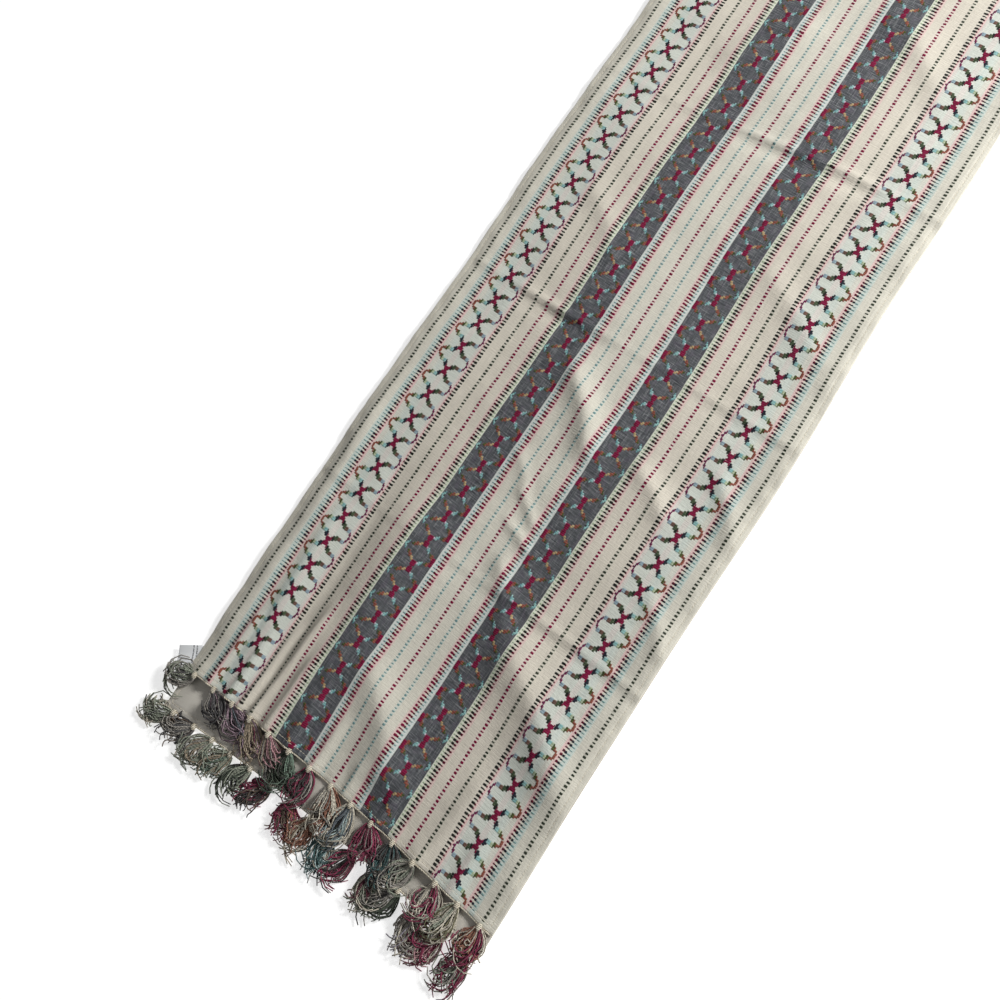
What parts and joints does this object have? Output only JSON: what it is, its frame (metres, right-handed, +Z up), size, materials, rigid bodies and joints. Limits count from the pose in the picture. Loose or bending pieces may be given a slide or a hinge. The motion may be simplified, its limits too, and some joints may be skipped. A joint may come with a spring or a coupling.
{
  "type": "table runner",
  "caption": "Lined woven table runner with lengthwise stripes and a tassel fringe at each end, folded in half and laid flat.",
  "frame": {"origin": "middle of the underside of the lower leaf, on the table", "axes": "+Y along the cloth towards the fold, +X across it, +Z up; the tassels are at the -Y end"},
  "size_m": [0.3484, 0.9653, 0.0076],
  "materials": {
    "face_cloth": "matte",
    "lining": "matte",
    "header_cord": "matte",
    "tassel_yarn": "matte",
    "stitching": "matte",
    "label": "satin"
  },
  "bodies": {
    "lower_leaf": {"face_cloth_lower": "face_cloth", "lining_lower": "lining", "face_cloth_fold": "face_cloth", "lining_fold": "lining", "header_cord_lower": "header_cord", "tassel_lower_01": "tassel_yarn", "tassel_lower_02": "tassel_yarn", "tassel_lower_03": "tassel_yarn", "tassel_lower_04": "tassel_yarn", "tassel_lower_05": "tassel_yarn", "tassel_lower_06": "tassel_yarn", "tassel_lower_07": "tassel_yarn", "tassel_lower_08": "tassel_yarn", "tassel_lower_09": "tassel_yarn", "tassel_lower_10": "tassel_yarn", "tassel_lower_11": "tassel_yarn", "tassel_lower_12": "tassel_yarn", "tassel_lower_13": "tassel_yarn", "tassel_lower_14": "tassel_yarn", "tassel_lower_15": "tassel_yarn", "end_stitch_lower": "stitching", "side_stitch_left_lower": "stitching", "side_stitch_right_lower": "stitching"},
    "upper_leaf": {"lining_upper": "lining", "face_cloth_upper": "face_cloth", "header_cord_upper": "header_cord", "tassel_upper_01": "tassel_yarn", "tassel_upper_02": "tassel_yarn", "tassel_upper_03": "tassel_yarn", "tassel_upper_04": "tassel_yarn", "tassel_upper_05": "tassel_yarn", "tassel_upper_06": "tassel_yarn", "tassel_upper_07": "tassel_yarn", "tassel_upper_08": "tassel_yarn", "tassel_upper_09": "tassel_yarn", "tassel_upper_10": "tassel_yarn", "tassel_upper_11": "tassel_yarn", "tassel_upper_12": "tassel_yarn", "tassel_upper_13": "tassel_yarn", "tassel_upper_14": "tassel_yarn", "tassel_upper_15": "tassel_yarn", "end_stitch_upper": "stitching", "side_stitch_left_upper": "stitching", "side_stitch_right_upper": "stitching", "care_label": "label"}
  },
  "joints": [
    {"name": "fold", "type": "hinge", "parent": "lower_leaf", "child": "upper_leaf", "pos_m": [0, 0.46338, 0.0019], "axis": [-1, 0, 0], "range_deg": [0, 180], "deforming": ["face_cloth_fold", "lining_fold"]}
  ]
}
